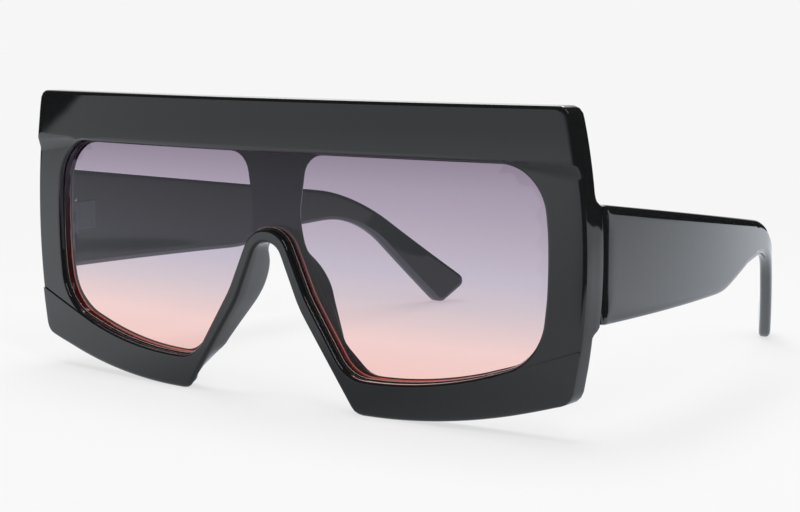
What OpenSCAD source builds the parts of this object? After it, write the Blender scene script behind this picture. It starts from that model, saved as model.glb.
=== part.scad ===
// Oversized shield sunglasses: a wrapped front with a proud brow, one large lens, and two folding temples.
// The part stands as it does on a table: +Z is up, -Y is the side that faces the viewer of the front,
// and the wearer's left is +X. The origin lies on the table, at the middle of the part's footprint.

/* [Front] */
// Width of the front at its widest
front_w = 154.4; // [140:0.2:165]
// Height of the front from the table to the top of the brow
front_h = 66.5; // [60:0.1:72]
// Thickness of the front beside the lens
plate_thick = 5; // [4.6:0.1:6.5]
// Radius of the front's wrap round the face
wrap_r = 560; // [450:5:900]
// Radius of the bowed outer sides, seen from the front
side_bow_r = 136; // [115:1:250]
// Height at which the sides are widest
side_bow_z = 35.5; // [30:0.5:38]
// Radius of the lower edge, seen from the front
lower_edge_r = 139; // [125:1:180]
// Distance from the middle to each of the two points that the front stands on
rest_x = 28; // [27:0.5:31]
// Rounding of the upper corners
top_corner_r = 2.6; // [1.5:0.1:5]
// Rounding of the lower corners
low_corner_r = 3.5; // [2:0.1:5]

/* [Brow and lower rim] */
// Height of the brow above the lens opening
brow_h = 11.5; // [8:0.1:13]
// How far the brow stands in front of the side posts
brow_proud = 1.05; // [0.6:0.05:1.8]
// Height of the slope from the brow down to the side posts
brow_slope_h = 2.5; // [1.5:0.1:4]
// Rounding of the brow's upper edges
brow_edge_r = 1.1; // [0.5:0.1:2]
// How far the lower rim stands in front of the side posts
lower_proud = 0.35; // [0.2:0.05:0.8]
// Height of the lower rim's ledge at the outer sides
ledge_z = 18.3; // [16:0.1:21]

/* [Lens opening] */
// Width of each side post beside the lens
side_rim = 8.3; // [6:0.1:9]
// Height of the lower rim below the lens
lower_rim = 7.6; // [6.5:0.1:9]
// Radius of the lower edge of the lens opening
lower_open_r = 96; // [90:1:130]
// Rounding of the opening's upper corners
open_top_r = 11; // [8:0.5:13]
// Rounding of the opening's lower corners
open_low_r = 12.5; // [9:0.5:15]
// Depth of the lens below the face of the side posts
lens_recess = 1.5; // [0.8:0.1:2]
// Thickness of the lens
lens_thick = 2; // [1.4:0.1:2.4]
// Gap between the lens and the rim round it
lens_gap = 0.1; // [0.05:0.05:0.3]
// Width of the ledge behind the edge of the lens
lens_ledge = 0.6; // [0.4:0.1:2]

/* [Nose] */
// Height of the nose notch
notch_h = 35.2; // [32:0.1:37]
// Half width of the nose notch at the table
notch_half_w = 23.9; // [22:0.1:25]
// Half width of the notch at its bend, halfway up
knee_x = 8.9; // [8:0.1:10]
// Height of that bend
knee_z = 21.5; // [20:0.1:23]
// Width of the rim between the notch and the lens
arch_rim = 2.9; // [2.4:0.1:3.6]
// How far the nose pads stand behind the front
pad_depth = 5; // [3:0.1:7]
// Rounding of the nose pads' crest
pad_r = 1.2; // [0.8:0.1:1.6]

/* [Temples] */
// Length of each temple from its hinged end to its tip, along the part
temple_len = 133; // [120:0.5:145]
// Thickness of each temple
temple_thick = 3; // [2.6:0.1:3.8]
// How far the temples' outer sides lie inside those of the end pieces
temple_inset = 0.2; // [0.1:0.05:0.5]
// Height of the temple's upper edge above the table, at the hinged end
temple_top = 46.9; // [44:0.1:50]
// Height of the temple at its hinged end
temple_h = 24.4; // [20:0.2:26]
// Radius of the temple's long inward curve, seen from above
temple_bow_r = 350; // [300:5:600]
// Radius of the bend in front of the ear hook, seen from above
ear_bend_r = 72; // [50:1:120]
// Length of that bend
ear_bend_len = 11; // [6:0.5:16]
// Radius of the ear hook's own curve, seen from above
hook_bow_r = 340; // [200:10:600]

/* [End pieces and hinges] */
// Thickness of the end piece that carries the hinge, across the part
lug_thick = 5.3; // [5:0.1:6.5]
// How far the end piece stands behind the front
lug_back = 1.9; // [1.5:0.1:4]
// Gap between the end piece and the temple's end
joint_gap = 0.5; // [0.3:0.05:1]
// Radius of the hinge knuckles
barrel_r = 1.3; // [1.1:0.05:1.4]
// Height of the stack of three knuckles
barrel_h = 8; // [6:0.5:12]
// Height of the hinge's middle above the table
hinge_z = 35; // [32:0.5:38]
// Thickness of the hinge leaves
leaf_thick = 1; // [0.8:0.05:1.1]
// Height of the hinge leaves
leaf_h = 7; // [5:0.5:10]
// Length of the hinge leaf in the end piece
front_leaf_len = 5; // [4:0.25:5.5]
// Length of the hinge leaf in the temple
temple_leaf_len = 8; // [6:0.25:14]
// Radius of the hinge screw
screw_r = 0.7; // [0.5:0.05:0.8]
// Radius of the hinge screw's head
screw_head_r = 1.15; // [0.95:0.05:1.25]
// Height of the hinge screw's head
screw_head_h = 0.6; // [0.4:0.05:1]
// Running clearance round the screw, on the radius
pin_gap = 0.05; // [0.02:0.01:0.09]
// Gap between knuckles, and between a knuckle and what it turns past
knuckle_gap = 0.15; // [0.1:0.05:0.3]

/* [Hidden] */

// Facets of the large wrap circles, and of the small round parts
wrap_facets = 720;
round_facets = 48;
// Degrees of turn between two points of a rounded corner
arc_step = 9;
// Overrun of every cut past the surface that it cuts
over = 1;

half_w = front_w / 2;
open_top = front_h - brow_h;
slope_low = open_top - brow_slope_h;
open_half_w = half_w - side_rim;
open_bow_r = side_bow_r - side_rim;
lens_back = lens_recess + lens_thick;

// Depth behind the middle of the front at which the wrapped face lies, at a distance x from the middle
function wrap_y(x) = wrap_r - sqrt(wrap_r * wrap_r - x * x);
lug_inner_x = half_w - lug_thick;
plate_back_y = wrap_y(half_w) + plate_thick;
lug_back_y = plate_back_y + lug_back;
temple_start_y = lug_back_y + joint_gap;
// The whole depth from the brow to the temple tips sets where the middle of the front lies
overall_depth = brow_proud + temple_start_y + temple_len;
front_y = brow_proud - overall_depth / 2;

// The hinge pin stands in the joint line, with its knuckles flush with the end piece's inner face
pivot_x = lug_inner_x + barrel_r;
pivot_y = front_y + temple_start_y - joint_gap / 3;
knuckle_h = (barrel_h - 2 * knuckle_gap) / 3;

// Half width of the front at a height z, on its bowed side
function side_x(z, half, r) = half - r + sqrt(r * r - (z - side_bow_z) * (z - side_bow_z));
// Height of a lower edge at a distance x from the middle, outside the resting points
function low_z(x, z, r) = z + r - sqrt(r * r - (x - rest_x) * (x - rest_x));

function unit(v) = v / norm(v);
function turn_of(a, b) = atan2(a[0] * b[1] - a[1] * b[0], a * b);
// Points of one rounded corner between its neighbours, where each corner is [x, y, radius]
function corner(before, c, after) =
    let (
        here = [c[0], c[1]],
        into = unit(here - [before[0], before[1]]),
        out = unit([after[0], after[1]] - here),
        turn = turn_of(into, out),
        left = [-into[1], into[0]] * sign(turn),
        middle = here - into * c[2] * abs(tan(turn / 2)) + left * c[2],
        steps = ceil(abs(turn) / arc_step)
    )
    c[2] == 0 || steps == 0 ? [here] :
    [for (i = [0:steps])
        let (a = abs(turn) * i / steps)
        middle + (into * sin(a) - left * cos(a)) * c[2]];
function rounded(c) =
    let (n = len(c))
    [for (i = [0:n - 1]) each corner(c[(i + n - 1) % n], c[i], c[(i + 1) % n])];
// The corners of an anticlockwise outline moved inwards by g
function inset(c, g) =
    let (n = len(c))
    [for (i = [0:n - 1])
        let (
            before = c[(i + n - 1) % n],
            after = c[(i + 1) % n],
            a = unit([c[i][0] - before[0], c[i][1] - before[1]]),
            b = unit([after[0] - c[i][0], after[1] - c[i][1]]),
            inwards = [-a[1] - b[1], a[0] + b[0]] * g / (1 + a * b),
            r = c[i][2] == 0 ? 0 : c[i][2] - g * sign(turn_of(a, b))
        )
        [c[i][0] + inwards[0], c[i][1] + inwards[1], r]];
// A half outline on the +X side, closed by its mirror image
function both_sides(c) = concat(c, [for (i = [len(c) - 1:-1:0]) [-c[i][0], c[i][1], c[i][2]]]);
// A step from low to high in even parts
function spread(low, high, parts) = [for (i = [0:parts]) low + (high - low) * i / parts];

// The notch: its top corner's place and radius, and the radius of its bend, as shares of its height
notch_apex_shares = [0.08, 0.122];
bend_r_share = 0.7;
// Outline of the front, anticlockwise from the top of the notch
front_low_z = low_z(half_w - low_corner_r, 0, lower_edge_r);
front_corners = both_sides(concat(
    [
        [notch_h * notch_apex_shares[0], notch_h, notch_h * notch_apex_shares[1]],
        [knee_x, knee_z, notch_h * bend_r_share],
        [notch_half_w, 0, low_corner_r]
    ],
    [for (x = spread(rest_x, half_w - 2 * low_corner_r, 7)) [x, low_z(x, 0, lower_edge_r), 0]],
    [[side_x(front_low_z, half_w, side_bow_r), front_low_z, low_corner_r]],
    [for (z = spread(front_low_z + 2 * low_corner_r, front_h - 2 * top_corner_r, 9))
        [side_x(z, half_w, side_bow_r), z, 0]],
    [[side_x(front_h, half_w, side_bow_r), front_h, top_corner_r]]
));

// The nose arch round the notch: its top corner's place and radius, as shares of its height,
// and how far the arch's bend and foot lie from the notch's, as shares of the arch's rim
arch_apex_shares = [0.113, 0.168];
arch_bend_shares = [0.72, 0.83];
arch_foot_share = 0.72;
// Rounding of the opening at the arch's foot, as a share of that of its outer lower corners
arch_foot_r_share = 0.7;
arch_top = notch_h + arch_rim;
// Outline of the lens opening, anticlockwise from the top of the nose arch
open_low_z = low_z(open_half_w - open_low_r / 4, lower_rim, lower_open_r);
open_corners = both_sides(concat(
    [
        [arch_top * arch_apex_shares[0], arch_top, arch_top * arch_apex_shares[1]],
        [knee_x + arch_rim * arch_bend_shares[0], knee_z + arch_rim * arch_bend_shares[1],
            arch_top * bend_r_share],
        [notch_half_w - arch_rim * arch_foot_share, lower_rim, open_low_r * arch_foot_r_share]
    ],
    [for (x = spread(rest_x, open_half_w - 1.2 * open_low_r, 6)) [x, low_z(x, lower_rim, lower_open_r), 0]],
    [[side_x(open_low_z, open_half_w, open_bow_r), open_low_z, open_low_r]],
    [for (z = spread(open_low_z + open_low_r, open_top - 1.2 * open_top_r, 6))
        [side_x(z, open_half_w, open_bow_r), z, 0]],
    [[side_x(open_top, open_half_w, open_bow_r), open_top, open_top_r]]
));

// The nose side of each eye's opening in the web behind the lens, from its top down to its foot:
// shares of the distance to the resting points and of the opening's height, and radii as shares of its height
eye_shares = [
    [0.308, 1, 0.11],
    [0.234, 0.72, 0.3],
    [0.271, 0.57, 0.12],
    [0.45, 0.4, 0.17],
    [0.64, 0.14, 0.17],
    [0.898, 0, 0.15]
];
ledge_corners = inset(open_corners, lens_ledge);
ledge_low = lower_rim + lens_ledge;
ledge_h = open_top - lens_ledge - ledge_low;
eye_corners = concat(
    [for (s = eye_shares) [rest_x * s[0], ledge_low + ledge_h * s[1], ledge_h * s[2]]],
    [for (i = [3:len(ledge_corners) / 2 - 1]) ledge_corners[i]]
);

// The zone of each side post, between the brow and the ledge of the lower rim
ledge_end_x = open_half_w - open_low_r;
post_zone = [
    [ledge_end_x, low_z(ledge_end_x, lower_rim, lower_open_r), 0],
    [half_w + over, ledge_z, 0],
    [half_w + over, front_h, 0],
    [ledge_end_x, front_h, 0]
];

// Sections of the front, as [radius from the wrap's axis, height, rounding]
front_section = [
    [wrap_r - plate_thick, 0, 0],
    [wrap_r + brow_proud, 0, 0],
    [wrap_r + brow_proud, front_h, brow_edge_r],
    [wrap_r - plate_thick, front_h, brow_edge_r]
];
// What is cut away in front of the posts, up to the slope below the brow
slope_cut_share = 2;
post_cut_section = [
    [wrap_r, 0, 0],
    [wrap_r + brow_proud * slope_cut_share, 0, 0],
    [wrap_r + brow_proud * slope_cut_share, slope_low + brow_slope_h * slope_cut_share, 0],
    [wrap_r, slope_low, 0]
];
// What is cut away in front of the lower rim and the nose arch
lower_cut_section = [
    [wrap_r + lower_proud, -over, 0],
    [wrap_r + brow_proud + over, -over, 0],
    [wrap_r + brow_proud + over, arch_top + over, 0],
    [wrap_r + lower_proud, arch_top + over, 0]
];
pocket_section = [
    [wrap_r - lens_back - lens_gap, 0, 0],
    [wrap_r + brow_proud + over, 0, 0],
    [wrap_r + brow_proud + over, front_h, 0],
    [wrap_r - lens_back - lens_gap, front_h, 0]
];
lens_section = [
    [wrap_r - lens_back, 0, 0],
    [wrap_r - lens_recess, 0, 0],
    [wrap_r - lens_recess, front_h, 0],
    [wrap_r - lens_back, front_h, 0]
];

// Side view of the end piece, as [distance behind the front, height, rounding]
lug_root_y = wrap_y(lug_inner_x) + plate_thick;
lug_low = temple_top - temple_h;
lug_corners = [
    [lug_root_y - plate_thick / 2, lug_low - lug_back, 0],
    [lug_root_y, lug_low - lug_back, 0],
    [lug_back_y, lug_low, lug_back / 3],
    [lug_back_y, temple_top, lug_back / 3],
    [lug_root_y, temple_top, lug_back / 2],
    [lug_root_y, temple_top + lug_back, 0],
    [lug_root_y - plate_thick / 2, temple_top + lug_back, 0]
];

// Crest of a nose pad: shares of the notch's height across and up, and of the pad's depth behind the front
pad_shares = [
    [0.13, 0.96, 0],
    [0.176, 0.86, 0.7],
    [0.213, 0.785, 1],
    [0.264, 0.655, 1],
    [0.312, 0.55, 0.64],
    [0.375, 0.44, 0.3],
    [0.455, 0.325, 0]
];
// Foot of the pad on the web: shares of the notch's height across and up
pad_foot_shares = [[0.2, 0.93], [0.33, 0.78], [0.4, 0.6], [0.42, 0.45], [0.47, 0.33]];

// Side view of a temple: shares of its length along, of its upper edge's height up,
// and roundings as shares of its height at the hinge
temple_end_share = 0.04;
temple_shares = [
    [0.455, 0.461, 1.4],
    [0.594, 0.55, 0.9],
    [0.758, 0.585, 1],
    [0.948, -0.019, 0.09],
    [1.011, 0.124, 0.1],
    [0.749, 0.721, 1.98],
    [0, 1, temple_end_share]
];
temple_corners = concat(
    [[front_y + temple_start_y, lug_low, temple_h * temple_end_share]],
    [for (s = temple_shares)
        [front_y + temple_start_y + temple_len * s[0], temple_top * s[1], temple_h * s[2]]]
);
// Seen from above, a temple starts a little splayed and bends inwards in three curves that
// run on from each other: its bow, the bend at the ear and the hook
temple_splay = 1.85;
// Shares of the temple's length that the bow takes, and of the hook's that its outline overruns
bow_share = 0.73;
hook_overrun_share = 1.15;
temple_x = half_w - temple_inset - temple_thick / 2;
bow_len = temple_len * bow_share;
hook_len = (temple_len - bow_len - ear_bend_len) * hook_overrun_share;
bow_heading = bow_len / temple_bow_r * 180 / PI - temple_splay;
bend_heading = bow_heading + ear_bend_len / ear_bend_r * 180 / PI;
hook_heading = bend_heading + hook_len / hook_bow_r * 180 / PI;
bow_centre = [
    temple_x - temple_bow_r * cos(temple_splay),
    front_y + temple_start_y + temple_bow_r * sin(temple_splay)
];
bend_centre = bow_centre + (temple_bow_r - ear_bend_r) * [cos(bow_heading), sin(bow_heading)];
hook_centre = bend_centre + (ear_bend_r - hook_bow_r) * [cos(bend_heading), sin(bend_heading)];

// The temple's outline seen from above, along its outer side and back along its inner side
bow_steps = 16;
bend_steps = 5;
hook_steps = 5;
function arc(centre, r, low, high, parts) = [for (a = spread(low, high, parts)) centre + r * [cos(a), sin(a)]];
function but_last(points) = [for (i = [0:len(points) - 2]) points[i]];
function temple_side(offset) = concat(
    but_last(arc(bow_centre, temple_bow_r + offset, -2 * temple_splay, bow_heading, bow_steps)),
    but_last(arc(bend_centre, ear_bend_r + offset, bow_heading, bend_heading, bend_steps)),
    arc(hook_centre, hook_bow_r + offset, bend_heading, hook_heading, hook_steps)
);
temple_inner = temple_side(-temple_thick / 2);
temple_plan = concat(
    temple_side(temple_thick / 2),
    [for (i = [len(temple_inner) - 1:-1:0]) temple_inner[i]]
);

// Anchors of a hinge leaf: radius and length as shares of its thickness
anchor_r_share = 0.6;
anchor_len_share = 1.2;
anchor_r = leaf_thick * anchor_r_share;
anchor_len = leaf_thick * anchor_len_share;
// Where a leaf's flat part starts, clear of the other leaf's knuckles
leaf_start = barrel_r + knuckle_gap;

// A solid of revolution about the wrap's axis
module wrapped(section)
    translate([0, front_y + wrap_r, 0])
        rotate_extrude($fn = wrap_facets) polygon(rounded(section));

// A shape of the front view, carried through the whole depth of the front
module through_front(corners)
    translate([0, front_y + lug_back_y + over, 0])
        rotate([90, 0, 0])
            linear_extrude(height = lug_back_y + wrap_y(half_w) + plate_thick)
                polygon(rounded(corners));

// Children drawn on both sides
module mirrored() {
    children();
    mirror([1, 0, 0]) children();
}

// Children on the wearer's left (side 1) or right (side -1)
module on_side(side)
    mirror([side < 0 ? 1 : 0, 0, 0]) children();

// Children in the frame of the hinge, whose pin is the Z axis
module at_hinge()
    translate([pivot_x, pivot_y, hinge_z]) children();

module end_piece()
    intersection() {
        translate([lug_inner_x, front_y, 0])
            rotate([90, 0, 90])
                linear_extrude(height = lug_thick + over) polygon(rounded(lug_corners));
        through_front(front_corners);
    }

module nose_pad()
    hull() {
        for (s = pad_shares)
            translate([
                notch_h * s[0] + pad_r,
                front_y + plate_thick + pad_depth * s[2] - pad_r,
                notch_h * s[1]
            ])
                sphere(r = pad_r, $fn = 16);
        for (s = pad_foot_shares)
            translate([notch_h * s[0], front_y + plate_thick - pad_r, notch_h * s[1]])
                sphere(r = pad_r, $fn = 16);
    }

// Room round the knuckles, in whatever they turn past
module knuckle_room()
    cylinder(h = barrel_h + 2 * knuckle_gap + 2 * screw_head_h, r = barrel_r + knuckle_gap,
        center = true, $fn = round_facets);

// The flat part of a leaf, between two distances from its pin, and the anchors that hold it in the moulding;
// dir is -1 towards the front and 1 along the temple
module leaf_plate(dir, start, length) {
    inner = dir < 0 ? -barrel_r : barrel_r - leaf_thick;
    translate([inner, dir < 0 ? -length : start, -leaf_h / 2])
        cube([leaf_thick, length - start, leaf_h]);
    for (level = [-1, 1])
        translate([inner + leaf_thick - over * anchor_r, dir * (leaf_start + length) / 2, level * leaf_h / 4])
            rotate([0, 90, 0])
                cylinder(h = anchor_len + over * anchor_r, r = anchor_r, $fn = round_facets);
}

// One knuckle with the strap that joins it to its leaf
module knuckle(dir, level) {
    inner = dir < 0 ? -barrel_r : barrel_r - leaf_thick;
    strap_len = leaf_start + leaf_thick;
    low = level * (knuckle_h + knuckle_gap) - knuckle_h / 2;
    strap_low = max(low, -leaf_h / 2);
    strap_high = min(low + knuckle_h, leaf_h / 2);
    translate([0, 0, low])
        cylinder(h = knuckle_h, r = barrel_r, $fn = round_facets);
    translate([inner, dir < 0 ? -strap_len : 0, strap_low])
        cube([leaf_thick, strap_len, strap_high - strap_low]);
}

module front_leaf()
    difference() {
        union() {
            leaf_plate(-1, leaf_start, front_leaf_len);
            knuckle(-1, -1);
            knuckle(-1, 1);
        }
        // The lower knuckle is threaded for the screw, and the upper one clears it
        translate([0, 0, -barrel_h / 2 - over])
            cylinder(h = barrel_h / 2 + over, r = screw_r, $fn = round_facets);
        cylinder(h = barrel_h / 2 + over, r = screw_r + pin_gap, $fn = round_facets);
    }

module temple_leaf()
    difference() {
        union() {
            leaf_plate(1, leaf_start, temple_leaf_len);
            knuckle(1, 0);
        }
        cylinder(h = barrel_h, r = screw_r + pin_gap, center = true, $fn = round_facets);
    }

module hinge_screw()
    difference() {
        union() {
            translate([0, 0, -barrel_h / 2])
                cylinder(h = barrel_h, r = screw_r, $fn = round_facets);
            translate([0, 0, barrel_h / 2])
                cylinder(h = screw_head_h, r = screw_head_r, $fn = round_facets);
        }
        // Driver slot
        translate([-screw_head_r - over, -screw_r / 4, barrel_h / 2 + screw_head_h / 2])
            cube([2 * (screw_head_r + over), screw_r / 2, screw_head_h]);
    }

module front_frame()
    color([0.09, 0.09, 0.1])
        difference() {
            union() {
                intersection() {
                    wrapped(front_section);
                    through_front(front_corners);
                }
                mirrored() end_piece();
                mirrored() nose_pad();
            }
            mirrored() intersection() {
                wrapped(post_cut_section);
                through_front(post_zone);
            }
            wrapped(lower_cut_section);
            // Seat of the lens, cut from the front
            intersection() {
                wrapped(pocket_section);
                through_front(open_corners);
            }
            mirrored() through_front(eye_corners);
            // Seats of the hinge leaves, with room for their straps
            mirrored() at_hinge() {
                leaf_plate(-1, 0, front_leaf_len);
                knuckle_room();
            }
        }

module shield_lens()
    color([0.72, 0.62, 0.72, 0.6])
        intersection() {
            wrapped(lens_section);
            through_front(inset(open_corners, lens_gap));
        }

module temple(side)
    color([0.1, 0.1, 0.11])
        on_side(side)
            difference() {
                intersection() {
                    linear_extrude(height = temple_top + over) polygon(temple_plan);
                    rotate([90, 0, 90])
                        linear_extrude(height = half_w + over) polygon(rounded(temple_corners));
                }
                at_hinge() {
                    leaf_plate(1, 0, temple_leaf_len);
                    knuckle_room();
                }
            }

module front_hinge(side)
    color([0.75, 0.75, 0.77])
        on_side(side) at_hinge() front_leaf();

module temple_hinge(side)
    color([0.75, 0.75, 0.77])
        on_side(side) at_hinge() temple_leaf();

// Both screws are alike
module hinge_screws()
    color([0.82, 0.82, 0.84])
        mirrored() at_hinge() hinge_screw();

front_frame();
shield_lens();
temple(1);  // temple_left
temple(-1);  // temple_right
front_hinge(1);  // front_hinge_left
front_hinge(-1);  // front_hinge_right
temple_hinge(1);  // temple_hinge_left
temple_hinge(-1);  // temple_hinge_right
hinge_screws();
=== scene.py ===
"""Oversized sunglasses: a deep flat-topped front with one shield lens, and two wide temples."""

from math import atan2, ceil, cos, hypot, pi, radians, sin, sqrt, tan

import bmesh
import bpy
import numpy as np
from mathutils import Matrix, Vector
from mathutils.geometry import delaunay_2d_cdt


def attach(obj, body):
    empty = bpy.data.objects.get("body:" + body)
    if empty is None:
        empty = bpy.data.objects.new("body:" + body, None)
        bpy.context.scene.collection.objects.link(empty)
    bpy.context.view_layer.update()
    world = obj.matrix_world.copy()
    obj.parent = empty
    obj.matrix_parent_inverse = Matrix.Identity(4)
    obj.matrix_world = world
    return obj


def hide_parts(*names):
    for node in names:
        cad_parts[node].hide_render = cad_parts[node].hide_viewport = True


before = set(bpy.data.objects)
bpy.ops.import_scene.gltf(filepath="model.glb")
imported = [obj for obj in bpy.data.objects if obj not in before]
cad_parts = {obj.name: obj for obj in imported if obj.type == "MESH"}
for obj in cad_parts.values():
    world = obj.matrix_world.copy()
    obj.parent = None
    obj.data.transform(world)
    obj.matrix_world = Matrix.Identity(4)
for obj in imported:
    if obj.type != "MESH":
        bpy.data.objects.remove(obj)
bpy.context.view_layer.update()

# Sizes in millimetres, named as in the part's source
MM = 0.001

# Front
FRONT_W = 154.4
FRONT_H = 66.5
PLATE_THICK = 5
WRAP_R = 560
SIDE_BOW_R = 136
SIDE_BOW_Z = 35.5
LOWER_EDGE_R = 139
REST_X = 28
TOP_CORNER_R = 2.6
LOW_CORNER_R = 3.5
BROW_H = 11.5
BROW_PROUD = 1.05
BROW_SLOPE_H = 2.5
LOWER_PROUD = 0.35
LEDGE_Z = 18.3

# Opening and lens
SIDE_RIM = 8.3
LOWER_RIM = 7.6
LOWER_OPEN_R = 96
OPEN_TOP_R = 11
OPEN_LOW_R = 12.5
LENS_RECESS = 1.5
LENS_THICK = 2
LENS_GAP = 0.1
LENS_LEDGE = 0.6

# Nose notch
NOTCH_H = 35.2
NOTCH_HALF_W = 23.9
KNEE_X = 8.9
KNEE_Z = 21.5
ARCH_RIM = 2.9

# Temples
TEMPLE_LEN = 133
TEMPLE_THICK = 3
TEMPLE_INSET = 0.2
TEMPLE_TOP = 46.9
TEMPLE_H = 24.4
TEMPLE_BOW_R = 350
EAR_BEND_R = 72
EAR_BEND_LEN = 11
HOOK_BOW_R = 340

# End pieces and hinges
LUG_THICK = 5.3
LUG_BACK = 1.9
JOINT_GAP = 0.5
BARREL_R = 1.3
BARREL_H = 8
HINGE_Z = 35
LEAF_THICK = 1
LEAF_H = 7
FRONT_LEAF_LEN = 5
TEMPLE_LEAF_LEN = 8
SCREW_HEAD_H = 0.6
KNUCKLE_GAP = 0.15

# Sizes that follow from these
HALF_W = FRONT_W / 2
OPEN_TOP = FRONT_H - BROW_H
SLOPE_LOW = OPEN_TOP - BROW_SLOPE_H
OPEN_HALF_W = HALF_W - SIDE_RIM
OPEN_BOW_R = SIDE_BOW_R - SIDE_RIM
LENS_BACK = LENS_RECESS + LENS_THICK
SEAT_DEPTH = LENS_BACK + LENS_GAP
ARCH_TOP = NOTCH_H + ARCH_RIM
NOTCH_END = NOTCH_H + 1


def wrap_y(x):
    """Depth of the wrapped face behind its middle, at a distance x from the middle."""
    return WRAP_R - sqrt(WRAP_R**2 - x * x)


LUG_INNER_X = HALF_W - LUG_THICK
LUG_LOW = TEMPLE_TOP - TEMPLE_H
LUG_BACK_Y = wrap_y(HALF_W) + PLATE_THICK + LUG_BACK
TEMPLE_START_Y = LUG_BACK_Y + JOINT_GAP
OVERALL_DEPTH = BROW_PROUD + TEMPLE_START_Y + TEMPLE_LEN
FRONT_Y = BROW_PROUD - OVERALL_DEPTH / 2
PIVOT_X = LUG_INNER_X + BARREL_R
PIVOT_Y = FRONT_Y + TEMPLE_START_Y - JOINT_GAP / 3

# Camera: where the photograph was taken from, in metres, with its roll in degrees
CAMERA_AT = Vector((0.25570, -0.36978, 0.08324))
CAMERA_AIM = Vector((0.03615, -0.07231, 0.03496))
CAMERA_ROLL = -0.11
SENSOR_MM = 36
FOCAL_MM = 81.77


# Plane outlines: lists of (across, up) points, anticlockwise, from corners of (across, up, radius)

NOTCH_CORNERS = (
    (NOTCH_H * 0.08, NOTCH_H, NOTCH_H * 0.122),
    (KNEE_X, KNEE_Z, NOTCH_H * 0.7),
    (NOTCH_HALF_W, 0, LOW_CORNER_R),
)
ARCH_CORNERS = (
    (ARCH_TOP * 0.113, ARCH_TOP, ARCH_TOP * 0.168),
    (KNEE_X + ARCH_RIM * 0.72, KNEE_Z + ARCH_RIM * 0.83, ARCH_TOP * 0.7),
    (NOTCH_HALF_W - ARCH_RIM * 0.72, LOWER_RIM, OPEN_LOW_R * 0.7),
)
# The web between the eyes, as shares of REST_X across and of the eye opening's height
WEB_CORNERS = (
    (0.308, 1, 0.11),
    (0.234, 0.72, 0.3),
    (0.271, 0.57, 0.12),
    (0.45, 0.4, 0.17),
    (0.64, 0.14, 0.17),
    (0.898, 0, 0.15),
)
# An eye opening follows the lens ledge outside REST_X, and along the top from here outwards
EYE_TOP_X = 13
EYE_TOP_Z = 50
# Points along the bowed edges
LOW_POINTS = 30
SIDE_POINTS = 36
OPEN_POINTS = 24


def rounded(corners, turn_step=3.0):
    """The outline through corners, each rounded between its neighbours in steps of some degrees."""
    points = []
    count = len(corners)
    for i, (x, z, r) in enumerate(corners):
        here = np.array((x, z))
        into = here - corners[i - 1][:2]
        out = np.array(corners[(i + 1) % count][:2]) - here
        into /= hypot(*into)
        out /= hypot(*out)
        turn = atan2(into[0] * out[1] - into[1] * out[0], into @ out)
        if r == 0 or abs(turn) < 1e-6:
            points.append(here)
            continue
        left = np.array((-into[1], into[0])) * (1 if turn > 0 else -1)
        middle = here - into * r * abs(tan(turn / 2)) + left * r
        steps = ceil(abs(turn) / radians(turn_step))
        for k in range(steps + 1):
            a = abs(turn) * k / steps
            points.append(middle + (into * sin(a) - left * cos(a)) * r)
    return np.array(points)


def side_x(z, half, r):
    """Where a bowed side lies at a height."""
    return half - r + sqrt(r * r - (z - SIDE_BOW_Z) ** 2)


def low_z(x, z, r):
    """Where a bowed lower edge lies at a distance from the middle; z is its lowest height."""
    return z + r - sqrt(r * r - (x - REST_X) ** 2)


def side_run(half, r, low, high, count):
    return [(side_x(z, half, r), z, 0) for z in np.linspace(low, high, count)]


def low_run(lowest, r, end, count):
    return [(x, low_z(x, lowest, r), 0) for x in np.linspace(REST_X, end, count)]


def both_sides(corners):
    return corners + [(-x, z, r) for x, z, r in reversed(corners)]


def front_outline():
    low = low_z(HALF_W - LOW_CORNER_R, 0, LOWER_EDGE_R)
    side_from, side_to = low + 2 * LOW_CORNER_R, FRONT_H - 2 * TOP_CORNER_R
    return rounded(both_sides([
        *NOTCH_CORNERS,
        *low_run(0, LOWER_EDGE_R, HALF_W - 2 * LOW_CORNER_R, LOW_POINTS),
        (side_x(low, HALF_W, SIDE_BOW_R), low, LOW_CORNER_R),
        *side_run(HALF_W, SIDE_BOW_R, side_from, side_to, SIDE_POINTS),
        (side_x(FRONT_H, HALF_W, SIDE_BOW_R), FRONT_H, TOP_CORNER_R),
    ]))


def opening_outline():
    low = low_z(OPEN_HALF_W - OPEN_LOW_R / 4, LOWER_RIM, LOWER_OPEN_R)
    side_from, side_to = low + OPEN_LOW_R, OPEN_TOP - 1.2 * OPEN_TOP_R
    return rounded(both_sides([
        *ARCH_CORNERS,
        *low_run(LOWER_RIM, LOWER_OPEN_R, OPEN_HALF_W - 1.2 * OPEN_LOW_R, OPEN_POINTS),
        (side_x(low, OPEN_HALF_W, OPEN_BOW_R), low, OPEN_LOW_R),
        *side_run(OPEN_HALF_W, OPEN_BOW_R, side_from, side_to, OPEN_POINTS),
        (side_x(OPEN_TOP, OPEN_HALF_W, OPEN_BOW_R), OPEN_TOP, OPEN_TOP_R),
    ]))


def left_of(loop):
    """Unit vectors to the left of a loop, which is into an anticlockwise outline."""
    along = np.roll(loop, -1, axis=0) - np.roll(loop, 1, axis=0)
    along = along / np.linalg.norm(along, axis=1)[:, None]
    return np.column_stack((-along[:, 1], along[:, 0]))


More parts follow.
